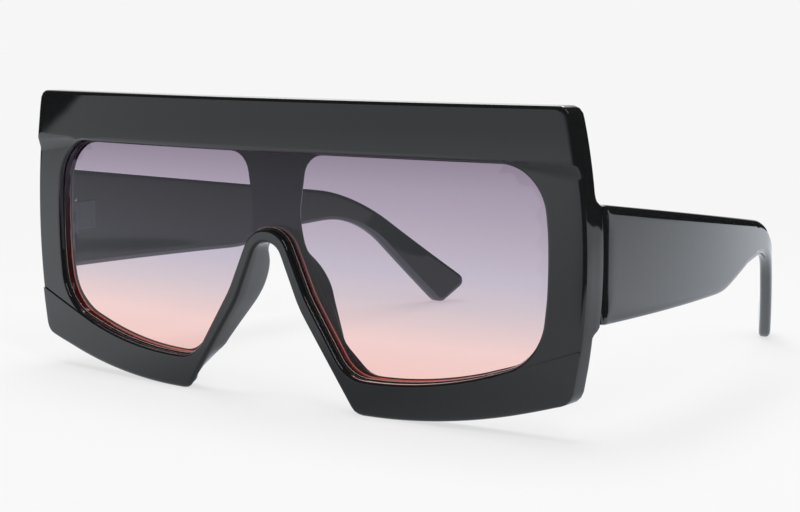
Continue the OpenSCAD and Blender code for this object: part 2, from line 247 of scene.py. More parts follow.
def eye_outline():
    """The opening of the wearer's left eye behind the lens: the lens opening's edge inside its
    ledge, and the web's edge on its nose side."""
    opening = opening_outline()
    ledge = opening + left_of(opening) * LENS_LEDGE
    x, z = ledge.T
    outer = ledge[(x > REST_X) | ((x > EYE_TOP_X) & (z > EYE_TOP_Z))]
    low = LOWER_RIM + LENS_LEDGE
    height = OPEN_TOP - LENS_LEDGE - low
    web = [(REST_X * x, low + height * z, height * r) for x, z, r in WEB_CORNERS]
    return rounded(web + [(x, z, 0) for x, z in outer])


def half_of(loop):
    """The part of a symmetric closed loop at x >= 0, from its lower crossing to its upper one."""
    right = [p for p in loop if p[0] > 1e-6]
    return np.array([(0, right[0][1])] + right + [(0, right[-1][1])])


def mirrored_loop(half):
    """A closed loop from its half at x >= 0, whose two ends lie in the middle."""
    return np.concatenate((half, [(-x, z) for x, z in half[-2:0:-1]]))


def lengths(line):
    return np.concatenate(((0,), np.cumsum(np.linalg.norm(np.diff(line, axis=0), axis=1))))


def place_of(line, point):
    """How far along a line its nearest place to a point lies."""
    along = lengths(line)
    a, b = line[:-1], line[1:]
    step = b - a
    share = np.clip(((point - a) * step).sum(1) / (step**2).sum(1), 0, 1)
    near = a + step * share[:, None]
    i = np.argmin(((near - point) ** 2).sum(1))
    return along[i] + share[i] * (along[i + 1] - along[i])


def at_places(line, places):
    along = lengths(line)
    return np.column_stack([np.interp(places, along, line[:, k]) for k in (0, 1)])


def in_steps(stops, counts):
    """Places between stops, with a count of steps for each stretch and without the last stop."""
    spans = zip(stops, stops[1:], counts)
    return [p for a, b, count in spans for p in np.linspace(a, b, count, endpoint=False)]


def matched(lines, keys, step):
    """The same number of points on each line, in step between key points given per line."""
    places = [
        [place_of(line, np.array(k)) for k in line_keys] for line, line_keys in zip(lines, keys)
    ]
    longest = [max(spans) for spans in zip(*(np.diff(p) for p in places))]
    counts = [max(1, ceil(span / step)) for span in longest]
    return [at_places(line, in_steps(p, counts) + p[-1:]) for line, p in zip(lines, places)]


def inside(point, loop):
    """True if a plane point lies in a closed loop."""
    x, z = point
    a, b = loop, np.roll(loop, -1, axis=0)
    spans = (a[:, 1] > z) != (b[:, 1] > z)
    a, b = a[spans], b[spans]
    cross = a[:, 0] + (z - a[:, 1]) / (b[:, 1] - a[:, 1]) * (b[:, 0] - a[:, 0])
    return np.count_nonzero(cross > x) % 2 == 1


def kept_clear(points, loops, margin):
    """The plane points inside the first loop and outside the others, clear of all their edges."""
    edge = np.concatenate(loops)
    return [
        p for p in points
        if ((edge - p) ** 2).sum(1).min() >= margin**2
        and inside(p, loops[0])
        and not any(inside(p, hole) for hole in loops[1:])
    ]


def lattice(loops, step, margin):
    """Plane points on a staggered lattice that fills the first loop outside the others."""
    row_step = step * 0.87
    low, high = loops[0].min(0), loops[0].max(0)
    points = []
    for row, z in enumerate(np.arange(low[1], high[1], row_step)):
        for x in np.arange(0 if row % 2 else step / 2, high[0], step):
            points.extend(np.array((side, z)) for side in ((x, -x) if x else (x,)))
    return kept_clear(points, loops, margin)


def smooth_step(low, high, value):
    share = np.clip((value - low) / (high - low), 0, 1)
    return share * share * (3 - 2 * share)


def zone(x, z, across, up):
    """1 in a zone that fades in over one span of x and one of z, and 0 outside it."""
    return smooth_step(*across, x) * smooth_step(*up, z)


# Meshes: rings of points joined by quads, with faces that fill the rest

# Points this close become one, in metres; triangles this thin are left out, in square millimetres
WELD = 1e-7
SLIVER = 1e-3


class Shell:
    """A mesh in the making, in millimetres: (x, y, z) points and faces. Rings are closed."""

    def __init__(self):
        self.points = []
        self.faces = []

    def ring(self, points):
        first = len(self.points)
        self.points.extend(map(tuple, points))
        return list(range(first, len(self.points)))

    def join(self, a, b):
        """Quads between two rings of equal length."""
        count = len(a)
        for i in range(count):
            j = (i + 1) % count
            self.faces.append((a[i], a[j], b[j], b[i]))

    def join_all(self, rings):
        for a, b in zip(rings, rings[1:]):
            self.join(a, b)

    def fill(self, rings, loops, inner, place):
        """Triangles between rings, whose plane points are the loops, and over inner plane points,
        which place puts in 3D."""
        plane = [Vector(p) for loop in loops for p in loop] + [Vector(p) for p in inner]
        index = [i for ring in rings for i in ring]
        edges = []
        start = 0
        for ring in rings:
            count = len(ring)
            edges.extend((start + i, start + (i + 1) % count) for i in range(count))
            start += count
        index.extend(self.ring([place(p.x, p.y) for p in plane[len(index):]]))
        verts, _, faces, origins, _, _ = delaunay_2d_cdt(plane, edges, [], 0, 1e-7)
        back = [index[o[0]] if o else None for o in origins]
        for face in faces:
            corners = [back[v] for v in face]
            a, b, c = (verts[v] for v in face)
            if abs((b - a).cross(c - a)) < SLIVER or None in corners:
                continue
            middle = sum((a, b, c), Vector((0, 0))) / 3
            if inside(middle, loops[0]) and not any(inside(middle, hole) for hole in loops[1:]):
                self.faces.append(tuple(corners))

    def make(self, name, smooth_angle):
        """The object, with shading that is smooth up to an angle between faces in degrees."""
        mesh = bpy.data.meshes.new(name)
        mesh.from_pydata([Vector(p) * MM for p in self.points], [], self.faces)
        bm = bmesh.new()
        bm.from_mesh(mesh)
        bmesh.ops.remove_doubles(bm, verts=bm.verts, dist=WELD)
        bmesh.ops.dissolve_degenerate(bm, edges=bm.edges, dist=WELD)
        loose = [v for v in bm.verts if not v.link_faces]
        bmesh.ops.delete(bm, geom=loose, context="VERTS")
        bmesh.ops.recalc_face_normals(bm, faces=bm.faces)
        bm.to_mesh(mesh)
        bm.free()
        mesh.shade_smooth()
        mesh.set_sharp_from_angle(angle=radians(smooth_angle))
        return linked(name, mesh)


def linked(name, data):
    """A new object in the scene."""
    item = bpy.data.objects.new(name, data)
    bpy.context.scene.collection.objects.link(item)
    return item


def wrapped(loop, depth):
    """Points of a front view loop at their depths behind the wrapped face."""
    depth = np.broadcast_to(depth, len(loop))
    return [(x, FRONT_Y + wrap_y(x) + d, z) for (x, z), d in zip(loop, depth)]


def at_depth(depth):
    """A function that puts a plane point at one depth behind the wrapped face."""
    return lambda x, z: (x, FRONT_Y + wrap_y(x) + depth, z)


# Front frame

# Roundings: the front edge, which is crisper up the sides and round the brow, the back edge,
# and the opening's lip
EDGE_R = 1.0
NOTCH_EDGE_R = 0.8
SIDE_EDGE_LESS = 0.5
SIDE_EDGE_ZONE = ((64, 70), (3, 8))
BROW_EDGE_LESS = 0.6
BROW_EDGE_SPAN = (56, 62)
BACK_EDGE_R = 1.0
PAD_EDGE_R = 1.2
LUG_EDGE_LESS = 0.5
LIP_R = 0.6
# Creases along the brow's slope and at the ledge's end, as half their width on the outline
BROW_CREASE = 0.22
LEDGE_CREASE = 0.05
# Top of an end piece: its rounded edge, and the hollow fillet above it
LUG_EDGE_H = 0.5
LUG_EDGE_SHARE = 0.8
LUG_FILLET_TOP = TEMPLE_TOP + 2.6
# Inner wall of an end piece: (distance out from LUG_INNER_X, share of the extra depth)
LUG_STEP = ((-0.05, 0), (0.03, 0.75), (0.1, 0.88), (0.25, 0.97), (0.5, 1))
LUG_FACE_COLUMNS = (1.6, 2.8)
# Crest of a nose pad: (height on the notch, depth behind the frame's back)
PAD_CREST = (
    (8, 0), (11.8, 1.2), (15.7, 2.4), (19.6, 3.8), (23.4, 4.8),
    (25.8, 4.9), (28.2, 4.4), (30.5, 3.2), (33, 1), (35, 0),
)
PAD_BLUR = (-1.2, -0.6, 0, 0.6, 1.2)
PAD_FROM_Z = 6.8
PAD_LEAN = 0.1
# How far a pad reaches from its crest: it needs a height of its own, and room to the eye opening
PAD_REACH = 0.25
PAD_ROOM = (0.7, 4.4)
PAD_FULL = 1.5
PAD_CURVE = 0.8
# Lean of the notch's lower corners: (height, how far the back edge lies inside the front one)
FOOT_LEAN = ((0, 2.8), (2, 2.5), (6.1, 1.2), (10, 0))
FOOT_ZONE = 4
# Flare of the eye openings towards the back: more beside the web and at the outer sides, and less
# beside the pads
EYE_FLARE = 0.9
EYE_WEB_FLARE = 2.5
EYE_WEB_ZONE = ((14, 9), (34, 41))
EYE_SIDE_FLARE = 1.3
EYE_SIDE_ZONE = ((60, 66), (14, 20))
EYE_PAD_LESS = 0.5
EYE_PAD_ZONE = ((19, 17), (35, 30))
EYE_POINTS = 149
# Spacing of the points, and the shares of the way at which rings lie across the wall and the face
RING_STEP = 1.25
WALL_SHARES = (0.35, 0.7)
FACE_SHARES = (0.05, 0.2, 0.4, 0.6, 0.8, 0.95, 1)
EDGE_STEPS = 6
PAD_STEPS = 10
LIP_STEPS = 7
FLAT_STEP = 2.5
FLAT_MARGIN = 1.2
LUG_ROWS_FROM = 20
LUG_ROW_STEP = 0.9
LUG_MARGIN = 0.447


def lug_share(z):
    """How much of an end piece's extra depth stands at a height: it slopes in below."""
    if z < LUG_LOW:
        return smooth_step(LUG_LOW - LUG_BACK, LUG_LOW, z)
    if z <= TEMPLE_TOP:
        rise = max(0, (z - TEMPLE_TOP + LUG_EDGE_H) / LUG_EDGE_H)
        return 1 - (1 - LUG_EDGE_SHARE) * rise * rise
    if z < LUG_FILLET_TOP:
        s = (LUG_FILLET_TOP - z) / (LUG_FILLET_TOP - TEMPLE_TOP)
        return LUG_EDGE_SHARE * (1 - sqrt(1 - s * s))
    return 0


def pad_height(z):
    """How far a nose pad's crest stands behind the frame's back, at a height on the notch."""
    return sum(np.interp(z + shift, *zip(*PAD_CREST)) for shift in PAD_BLUR) / len(PAD_BLUR)


def eye_edges():
    """An eye opening's edge at the lens seat, and the way it flares from there to the back."""
    eye = eye_outline()
    eye = np.vstack((eye, eye[:1]))
    eye = at_places(eye, np.linspace(0, lengths(eye)[-1], EYE_POINTS + 1)[:-1])
    x, z = eye.T
    web = EYE_WEB_FLARE * zone(x, z, *EYE_WEB_ZONE)
    side = EYE_SIDE_FLARE * zone(x, z, *EYE_SIDE_ZONE)
    pad = EYE_PAD_LESS * zone(x, z, *EYE_PAD_ZONE)
    flare = EYE_FLARE + web + side - pad
    return eye, -left_of(eye) * flare[:, None]


def face_level(x, z):
    """How far the face stands proud at the outline: on the lower rim, and up the brow's slope."""
    if z < LEDGE_Z or (x < NOTCH_HALF_W and z < NOTCH_END):
        return LOWER_PROUD
    return BROW_PROUD * min(1, max(0, (z - SLOPE_LOW) / BROW_SLOPE_H))


def on_side(z):
    return side_x(z, HALF_W, SIDE_BOW_R), z


def on_opening(z):
    return side_x(z, OPEN_HALF_W, OPEN_BOW_R), z


def front_loops():
    """The outline and the opening's edge as closed loops in step, and the face's level on them."""
    ledge_x = OPEN_HALF_W - OPEN_LOW_R
    ledge_z = low_z(ledge_x, LOWER_RIM, LOWER_OPEN_R)
    # Pairs of places, on the outline and on the opening's edge, that a line across the face joins
    pairs = (
        ((0, NOTCH_H), (0, ARCH_TOP)),
        ((KNEE_X - 0.7, KNEE_Z + 1.2), (KNEE_X + 1.6, KNEE_Z + 3.2)),
        ((NOTCH_HALF_W - 1.5, 2.6), (NOTCH_HALF_W - 2.2, LOWER_RIM + 1)),
        ((REST_X, 0), (REST_X + 1, LOWER_RIM)),
        (on_side(LEDGE_Z - LEDGE_CREASE), (ledge_x, ledge_z)),
        (on_side(LEDGE_Z + LEDGE_CREASE), (ledge_x + 0.1, ledge_z + 0.04)),
        (on_side(LUG_LOW - LUG_BACK), (66.0, 20.0)),
        (on_side(LUG_LOW), on_opening(22.4)),
        (on_side(TEMPLE_TOP - LUG_EDGE_H), on_opening(TEMPLE_TOP - LUG_EDGE_H)),
        (on_side(TEMPLE_TOP + 0.02), (67.0, TEMPLE_TOP)),
        (on_side(SLOPE_LOW - BROW_CREASE), (62.6, SLOPE_LOW)),
        (on_side(SLOPE_LOW + BROW_CREASE), (62.2, SLOPE_LOW + BROW_CREASE)),
        (on_side(OPEN_TOP - BROW_CREASE), (57.6, OPEN_TOP)),
        (on_side(OPEN_TOP + BROW_CREASE), (57, OPEN_TOP)),
        ((0, FRONT_H), (0, OPEN_TOP)),
    )
    lines = half_of(front_outline()), half_of(opening_outline())
    half_out, half_in = matched(lines, list(zip(*pairs)), RING_STEP)
    levels = [face_level(x, z) for x, z in half_out]
    levels = np.array(levels + levels[-2:0:-1])
    return mirrored_loop(half_out), mirrored_loop(half_in), levels


def outer_wall(shell, out, levels, eye_back):
    """The wall along the outline, from the front edge's rounding to the back edge's, and the nose
    pads behind it. It gives its first ring, that ring's loop, its last ring and its loop."""
    into = left_of(out)
    x, z = np.abs(out[:, 0]), out[:, 1]
    notch = (x < NOTCH_HALF_W) & (z < NOTCH_END)
    up_side = SIDE_EDGE_LESS * zone(x, z, *SIDE_EDGE_ZONE)
    at_brow = BROW_EDGE_LESS * smooth_step(*BROW_EDGE_SPAN, z)
    edge_r = np.where(notch, NOTCH_EDGE_R, EDGE_R - np.maximum(up_side, at_brow))
    pads = np.where(notch & (z > PAD_FROM_Z), pad_height(z), 0)
    foot_zone = (x < NOTCH_HALF_W + FOOT_ZONE) & (z < NOTCH_END)
    foot = np.where(foot_zone, np.interp(z, *zip(*FOOT_LEAN)), 0)
    foot = foot * smooth_step(NOTCH_HALF_W + FOOT_ZONE - 0.5, NOTCH_HALF_W - 0.5, x)
    lug = np.array([lug_share(up) if side > LUG_INNER_X else 0 for side, up in zip(x, z)])
    lug_depth = LUG_BACK_Y - PLATE_THICK - np.array([wrap_y(side) for side in x])
    back = PLATE_THICK + pads + lug * lug_depth
    back_r = np.where(pads > 1, PAD_EDGE_R, BACK_EDGE_R - LUG_EDGE_LESS * lug)
    lean = PAD_LEAN * pads + foot

    rows = []
    for a in np.linspace(pi / 2, 0, EDGE_STEPS + 1):
        loop = out + into * (edge_r * (1 - cos(a)))[:, None]
        rows.append(shell.ring(wrapped(loop, -levels + edge_r * (1 - sin(a)))))
    for share in WALL_SHARES:
        loop = out + into * (lean * share)[:, None]
        depth = (-levels + edge_r) * (1 - share) + (back - back_r) * share
        rows.append(shell.ring(wrapped(loop, depth)))
    for a in np.linspace(0, pi / 2, EDGE_STEPS + 1):
        crest = out + into * (lean + back_r * (1 - cos(a)))[:, None]
        rows.append(shell.ring(wrapped(crest, back - back_r * (1 - sin(a)))))
    # Each pad is a dome from its crest down to the plate's flat, beside the eye opening
    both_eyes = np.vstack((eye_back, eye_back * (-1, 1)))
    room = np.array([np.hypot(*(both_eyes - p).T).min() for p in crest])
    room = np.clip(room, *PAD_ROOM) - PAD_ROOM[0]
    reach = PAD_REACH + room * smooth_step(0, PAD_FULL, pads)
    for a in np.linspace(0, pi / 2, PAD_STEPS + 1)[1:]:
        loop = crest + into * (reach * sin(a))[:, None]
        rows.append(shell.ring(wrapped(loop, back - pads * (1 - cos(a) ** PAD_CURVE))))
    shell.join_all(rows)
    return rows[0], out + into * edge_r[:, None], rows[-1], loop


def front_face(shell, ring, loop, open_loop, levels):
    """The face from the outline's edge to the opening, then the opening's lip and its wall down to
    the lens seat. It gives the seat's ring."""
    away = -left_of(open_loop)
    rings = [ring]
    lip_loop = open_loop + away * LIP_R
    for share in FACE_SHARES:
        rings.append(shell.ring(wrapped(loop * (1 - share) + lip_loop * share, -levels)))
    for a in np.linspace(pi / 2, 0, LIP_STEPS + 1):
        edge = open_loop + away * (LIP_R * (1 - cos(a)))
        rings.append(shell.ring(wrapped(edge, -levels + LIP_R * (1 - sin(a)))))
    rings.append(shell.ring(wrapped(open_loop, SEAT_DEPTH)))
    shell.join_all(rings)
    return rings[-1]


def eye_wall(shell, eye, flare):
    """An eye opening's flared wall. It gives its rings at the seat and at the back."""
    rings = []
    for a in np.linspace(0, pi / 2, LIP_STEPS + 1):
        depth = SEAT_DEPTH + (PLATE_THICK - SEAT_DEPTH) * sin(a)
        rings.append(shell.ring(wrapped(eye + flare * (1 - cos(a)), depth)))
    shell.join_all(rings)
    return rings[0], rings[-1]


def lug_points():
    """Plane points for the faces and the inner walls of the end pieces."""
    columns = np.array([x for x, _ in LUG_STEP] + [*LUG_FACE_COLUMNS]) + LUG_INNER_X
    heights = np.concatenate((
        np.arange(LUG_ROWS_FROM, TEMPLE_TOP - LUG_EDGE_H - 0.1, LUG_ROW_STEP),
        np.linspace(TEMPLE_TOP - LUG_EDGE_H, TEMPLE_TOP, 4),
        np.linspace(TEMPLE_TOP + 0.3, TEMPLE_TOP + 3, 8),
    ))
    return [(x * sign, z) for z in heights for x in columns for sign in (1, -1)]


def off_lug(point):
    """True if a plane point lies clear of the end pieces."""
    x, z = point
    return abs(x) <= LUG_INNER_X - 0.6 or not LUG_ROWS_FROM - 1 < z < TEMPLE_TOP + 4


def back_place(x, z):
    """A plane point on the back: on the plate's flat, or on an end piece."""
    depth = PLATE_THICK
    if abs(x) > LUG_INNER_X - 0.1:
        share = np.interp(abs(x) - LUG_INNER_X, *zip(*LUG_STEP))
        depth += share * lug_share(z) * (LUG_BACK_Y - PLATE_THICK - wrap_y(x))
    return x, FRONT_Y + wrap_y(x) + depth, z


def build_front():
    """The front's closed shell: outer wall with the nose pads, face, opening, eye openings and back."""
    out, open_loop, levels = front_loops()
    eye, flare = eye_edges()
    shell = Shell()
    front_ring, front_loop, back_ring, back_loop = outer_wall(shell, out, levels, eye + flare)
    seat_rings = [front_face(shell, front_ring, front_loop, open_loop, levels)]
    seat_loops = [open_loop]
    back_rings = [back_ring]
    back_loops = [back_loop]
    for mirror in ((1, 1), (-1, 1)):
        at_seat, at_back = eye_wall(shell, eye * mirror, flare * mirror)
        seat_rings.append(at_seat)
        seat_loops.append(eye * mirror)
        back_rings.append(at_back)
        back_loops.append((eye + flare) * mirror)
    seat_points = lattice(seat_loops, FLAT_STEP, FLAT_MARGIN)
    shell.fill(seat_rings, seat_loops, seat_points, at_depth(SEAT_DEPTH))
    back_points = kept_clear(lug_points(), back_loops, LUG_MARGIN)
    back_points += filter(off_lug, lattice(back_loops, FLAT_STEP, FLAT_MARGIN))
    shell.fill(back_rings, back_loops, back_points, back_place)
    return shell.make("front_shell", smooth_angle=38)


# Hinge seats


def hinge_cutters(direction, length):
    """A closed block where a leaf goes, and the round room where the knuckles turn."""
    inner = -BARREL_R if direction < 0 else BARREL_R - LEAF_THICK
    low = Vector((inner, -length if direction < 0 else 0, -LEAF_H / 2))
    size = Vector((LEAF_THICK, length, LEAF_H))
    block = bmesh.new()
    placed = Matrix.Translation(low + size / 2) @ Matrix.Diagonal((*size, 1))
    bmesh.ops.create_cube(block, size=1, matrix=placed)
    room = bmesh.new()
    room_r = BARREL_R + KNUCKLE_GAP
    room_h = BARREL_H + 2 * KNUCKLE_GAP + 2 * SCREW_HEAD_H
    bmesh.ops.create_cone(
        room, cap_ends=True, segments=40, radius1=room_r, radius2=room_r, depth=room_h
    )
    meshes = []
    for bm in (block, room):
        bmesh.ops.translate(bm, vec=(PIVOT_X, PIVOT_Y, HINGE_Z), verts=bm.verts)
        bmesh.ops.scale(bm, vec=(MM, MM, MM), verts=bm.verts)
        mesh = bpy.data.meshes.new("hinge_cutter")
        bm.to_mesh(mesh)
        bm.free()
        meshes.append(mesh)
    return meshes


def cut(piece, cutters):
    """Cuts closed meshes out of a piece and keeps the result as its mesh."""
    helpers = [linked("cutter", mesh) for mesh in cutters]
    for helper in helpers:
        modifier = piece.modifiers.new("seat", "BOOLEAN")
        modifier.object = helper
        modifier.solver = "EXACT"
    evaluated = piece.evaluated_get(bpy.context.evaluated_depsgraph_get())
    mesh = bpy.data.meshes.new_from_object(evaluated)
    piece.modifiers.clear()
    old = piece.data
    piece.data = mesh
    mesh.name = old.name
    for helper in helpers:
        bpy.data.objects.remove(helper)


def flipped(mesh):
    """A mesh mirrored across the middle, for the other side."""
    other = mesh.copy()
    other.transform(Matrix.Diagonal((-1, 1, 1, 1)))
    other.flip_normals()
    return other


# Temples: a plate on a middle surface of three arcs, seen from above. A heading is the angle of an
# arc's radius from straight across, so it is 0 where the temple runs straight back

TEMPLE_X = HALF_W - TEMPLE_INSET - TEMPLE_THICK / 2
TEMPLE_Y = FRONT_Y + TEMPLE_START_Y
SPLAY = radians(1.85)
BOW_LEN = TEMPLE_LEN * 0.73
HOOK_LEN = (TEMPLE_LEN - BOW_LEN - EAR_BEND_LEN) * 1.15
BOW_HEADING = BOW_LEN / TEMPLE_BOW_R - SPLAY
BEND_HEADING = BOW_HEADING + EAR_BEND_LEN / EAR_BEND_R
HOOK_HEADING = BEND_HEADING + HOOK_LEN / HOOK_BOW_R


def turned(heading):
    return np.array((cos(heading), sin(heading)))


BOW_CENTRE = np.array((TEMPLE_X, TEMPLE_Y)) - TEMPLE_BOW_R * turned(-SPLAY)
BEND_CENTRE = BOW_CENTRE + (TEMPLE_BOW_R - EAR_BEND_R) * turned(BOW_HEADING)
HOOK_CENTRE = BEND_CENTRE + (EAR_BEND_R - HOOK_BOW_R) * turned(BEND_HEADING)
TEMPLE_ARCS = (
    (BOW_CENTRE, TEMPLE_BOW_R, BOW_HEADING),
    (BEND_CENTRE, EAR_BEND_R, BEND_HEADING),
    (HOOK_CENTRE, HOOK_BOW_R, HOOK_HEADING),
)
# Corners as shares of the temple's length, its top's height and, for the radius, its height
TEMPLE_CORNERS = (
    (0.455, 0.461, 1.4),
    (0.594, 0.55, 0.9),
    (0.758, 0.585, 1),
    (0.948, -0.019, 0.09),
    (1.011, 0.124, 0.1),
    (0.749, 0.721, 1.98),
    (0, 1, 0.04),
)
LOW_FRONT_R = TEMPLE_H * 0.04
# Places near the four corners, and stops along the bottom and the top that face each other, as
# (distance back from the front end, height)
CORNER_IN = 0.3
LOW_TIP = (TEMPLE_LEN * 0.951, 0.6)
TOP_TIP = (TEMPLE_LEN * 1.0, 5.8)
LOW_STOPS = ((60, 21.6), (88, 26), (102, 24))
TOP_STOPS = ((60, 39), (92, 34), (112, 24))
# Steps along and across, and round the rim
ALONG_STEP = 1.5
ACROSS = 14
RIM_STEPS = 7
# Roundings of the rim: over the thickness, and over the height as shares of height_r
OUTER_THICK_R = 1.3
INNER_THICK_R = 0.8
OUTER_HEIGHT_SHARE = 1.3
INNER_HEIGHT_SHARE = 0.75
# The rounding over the height is held small at the two sharp corners of the front end
HEIGHT_R = 1.4
CORNER_HEIGHT_R = 0.75
FRONT_END_R = 2.0


def temple_x(y, offset):
    """Where the temple's surface lies across, at an offset outwards from its middle surface."""
    for centre, r, heading in TEMPLE_ARCS:
        r = r + offset
        share = (y - centre[1]) / r
        if share <= sin(heading) or heading == HOOK_HEADING:
            return centre[0] + r * sqrt(1 - share * share)


def temple_outline():
    """The temple's closed side outline, as (along, up) points."""
    corners = [(TEMPLE_Y, LUG_LOW, LOW_FRONT_R)]
    corners += [
        (TEMPLE_Y + TEMPLE_LEN * y, TEMPLE_TOP * z, TEMPLE_H * r) for y, z, r in TEMPLE_CORNERS
    ]
    loop = rounded(corners)
    loop[:, 1] = np.maximum(loop[:, 1], 0)
    return np.vstack((loop, loop[:1]))


def temple_ring():
    """The outline as a ring of four runs: along the bottom, up the tip, back along the top and down
    the front end. It gives the ring and the number of steps along it."""
    closed = temple_outline()
    whole = lengths(closed)[-1]

    def places(*points):
        return [place_of(closed, np.array((TEMPLE_Y + y, z))) for y, z in points]

    low = places((CORNER_IN, LUG_LOW + CORNER_IN), *LOW_STOPS, LOW_TIP)
    top = places((CORNER_IN, TEMPLE_TOP - CORNER_IN), *TOP_STOPS, TOP_TIP)
    counts = [ceil((b - a) / ALONG_STEP) for a, b in zip(low, low[1:])]
    ring = in_steps(low, counts) + in_steps([low[-1], top[-1]], [ACROSS])
    ring += in_steps(top[::-1], counts[::-1])
    end = low[0] + whole if low[0] < top[0] else low[0]
    ring += in_steps([top[0], end], [ACROSS])
    return at_places(closed, np.mod(ring, whole)), sum(counts)


def four_runs(ring, n):
    """A ring's runs along the bottom, along the top, up the front end and up the tip."""
    low = ring[: n + 1]
    tip = ring[n : n + ACROSS + 1]
    top = ring[n + ACROSS : 2 * n + ACROSS + 1][::-1]
    front = np.concatenate((ring[2 * n + ACROSS :], ring[:1]))[::-1]
    return low, top, front, tip


def build_temple():
    ring, n = temple_ring()
    into = left_of(ring)
    corners = ((TEMPLE_Y, LUG_LOW), (TEMPLE_Y, TEMPLE_TOP))
    corner_gap = np.min([np.hypot(*(ring - corner).T) for corner in corners], axis=0)
    height_r = CORNER_HEIGHT_R + (HEIGHT_R - CORNER_HEIGHT_R) * smooth_step(0.5, 2.6, corner_gap)
    front_end = FRONT_END_R * (ring[:, 0] < TEMPLE_Y + 0.5) * smooth_step(1, 6, corner_gap)
    shell = Shell()

    def put(edge, offset):
        return shell.ring([(temple_x(y, offset), y, max(z, 0)) for y, z in edge])

    def rim(thick_r, sign, height_r):
        """Edges and offsets from a face's edge round to the rim, on the outer or the inner side."""
        return [
            (
                ring + into * (height_r * (1 - cos(a)))[:, None],
                sign * (TEMPLE_THICK / 2 - thick_r * (1 - sin(a))),
            )
            for a in np.linspace(pi / 2, 0, RIM_STEPS + 1)
        ]

    outer = rim(OUTER_THICK_R, 1, OUTER_HEIGHT_SHARE * height_r + front_end)
    inner = rim(INNER_THICK_R, -1, INNER_HEIGHT_SHARE * height_r)
    rings = [put(*row) for row in outer + inner[::-1]]
    shell.join_all(rings)
    # Each face is a patch between the four runs of its edge
    for (edge, offset), ids in ((outer[0], rings[0]), (inner[0], rings[-1])):
        low, top, front, tip = four_runs(edge, n)
        grid = np.empty((n + 1, ACROSS + 1), int)
        grid[:, 0], grid[:, ACROSS], grid[0], grid[n] = four_runs(ids, n)
        for i in range(1, n):
            u = i / n
            for j in range(1, ACROSS):
                v = j / ACROSS
                p = (1 - v) * low[i] + v * top[i] + (1 - u) * front[j] + u * tip[j]
                p = p - (1 - u) * ((1 - v) * front[0] + v * front[-1])
                p = p - u * ((1 - v) * tip[0] + v * tip[-1])
                grid[i, j] = put([p], offset)[0]
        for i in range(n):
            for j in range(ACROSS):
                quad = grid[i, j], grid[i + 1, j], grid[i + 1, j + 1], grid[i, j + 1]
                shell.faces.append(quad)
    temple = shell.make("temple_shell_left", smooth_angle=60)
    # The inner face, which was made last, has its own material
    for face in temple.data.polygons:
        face.material_index = int(face.index >= len(shell.faces) - n * ACROSS)
    return temple


# Lens

LENS_POINTS = 180
LENS_FLAT_STEP = 3
LENS_FLAT_MARGIN = 1.5
# Edge of the lens: (distance in from the opening, depth), and each band's material slot
LENS_EDGE = (
    (LENS_GAP + 0.28, LENS_RECESS),
    (LENS_GAP + 0.09, LENS_RECESS + 0.07),
    (LENS_GAP, LENS_RECESS + 0.24),
    (LENS_GAP, LENS_BACK - 0.2),
    (LENS_GAP + 0.2, LENS_BACK),
)
# Slot 1 is the front bevel's painted highlight, slot 2 the wall's painted shade, slot 3 the rear
# bevel's painted highlight
LENS_EDGE_SLOTS = (1, 1, 2, 3)


def build_lens():
    """The shield lens: two wrapped faces, with a bevel round the front one that carries a painted
    highlight.
    """
    half = half_of(opening_outline())
    edge = mirrored_loop(at_places(half, np.linspace(0, lengths(half)[-1], LENS_POINTS)))
    into = left_of(edge)
    shell = Shell()
    rings = [shell.ring(wrapped(edge + into * gap, depth)) for gap, depth in LENS_EDGE]
    shell.join_all(rings)
    for end in (0, -1):
        gap, depth = LENS_EDGE[end]
        loop = edge + into * gap
        points = lattice([loop], LENS_FLAT_STEP, LENS_FLAT_MARGIN)
        shell.fill([rings[end]], [loop], points, at_depth(depth))
    lens = shell.make("lens_shell", smooth_angle=20)
    for face in lens.data.polygons:
        band = face.index // len(edge)
        face.material_index = LENS_EDGE_SLOTS[band] if band < len(LENS_EDGE_SLOTS) else 0
    return lens


# Materials


